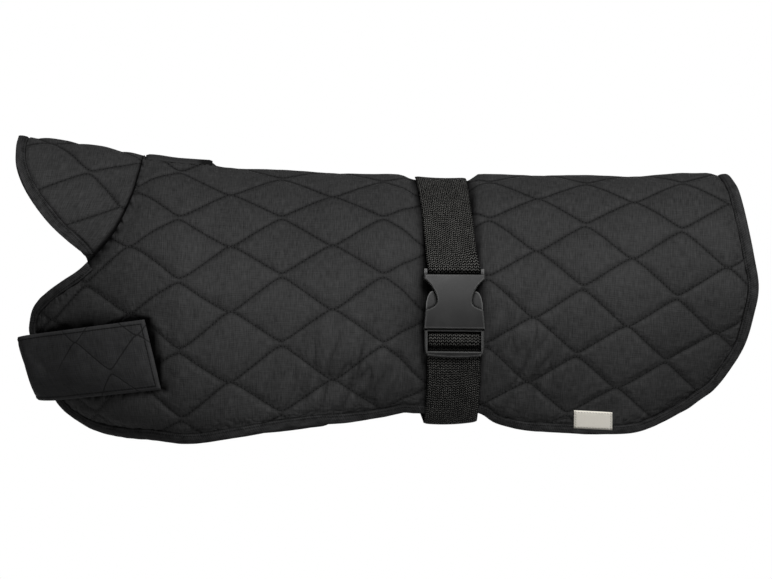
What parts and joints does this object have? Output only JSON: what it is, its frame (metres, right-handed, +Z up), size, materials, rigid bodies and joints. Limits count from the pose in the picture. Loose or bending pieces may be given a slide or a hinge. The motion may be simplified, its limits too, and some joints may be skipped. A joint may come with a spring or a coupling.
{
  "type": "dog winter coat",
  "caption": "Quilted winter coat for a dog, hollow and filled out: back and sides in one cut, raised collar, chest strap, and a belly belt with a side-release buckle.",
  "frame": {"origin": "where the wearer's back holds the coat up: on the middle line under the belly belt, at the cloth's inside", "axes": "+X back towards the tail, +Z up, -Y the wearer's left side, which carries the buckle and the label"},
  "size_m": [0.5706, 0.2327, 0.234],
  "materials": {
    "quilted_cloth": "woven, soft sheen",
    "collar_cloth": "woven, soft sheen",
    "binding_tape": "plain woven tape",
    "collar_tape": "plain woven tape",
    "strap_cloth": "woven, soft sheen",
    "webbing": "coarse herringbone webbing",
    "moulded_plastic": "moulded, satin",
    "flap_tape": "matte woven tape",
    "label_cloth": "matte woven label"
  },
  "bodies": {
    "root": {"back_panel": "quilted_cloth", "collar": "collar_cloth", "body_binding": "binding_tape", "collar_binding": "collar_tape", "chest_strap": "strap_cloth", "belly_belt": "webbing", "buckle_female": "moulded_plastic", "buckle_male": "moulded_plastic", "leash_flap": "flap_tape", "label": "label_cloth"}
  },
  "joints": []
}
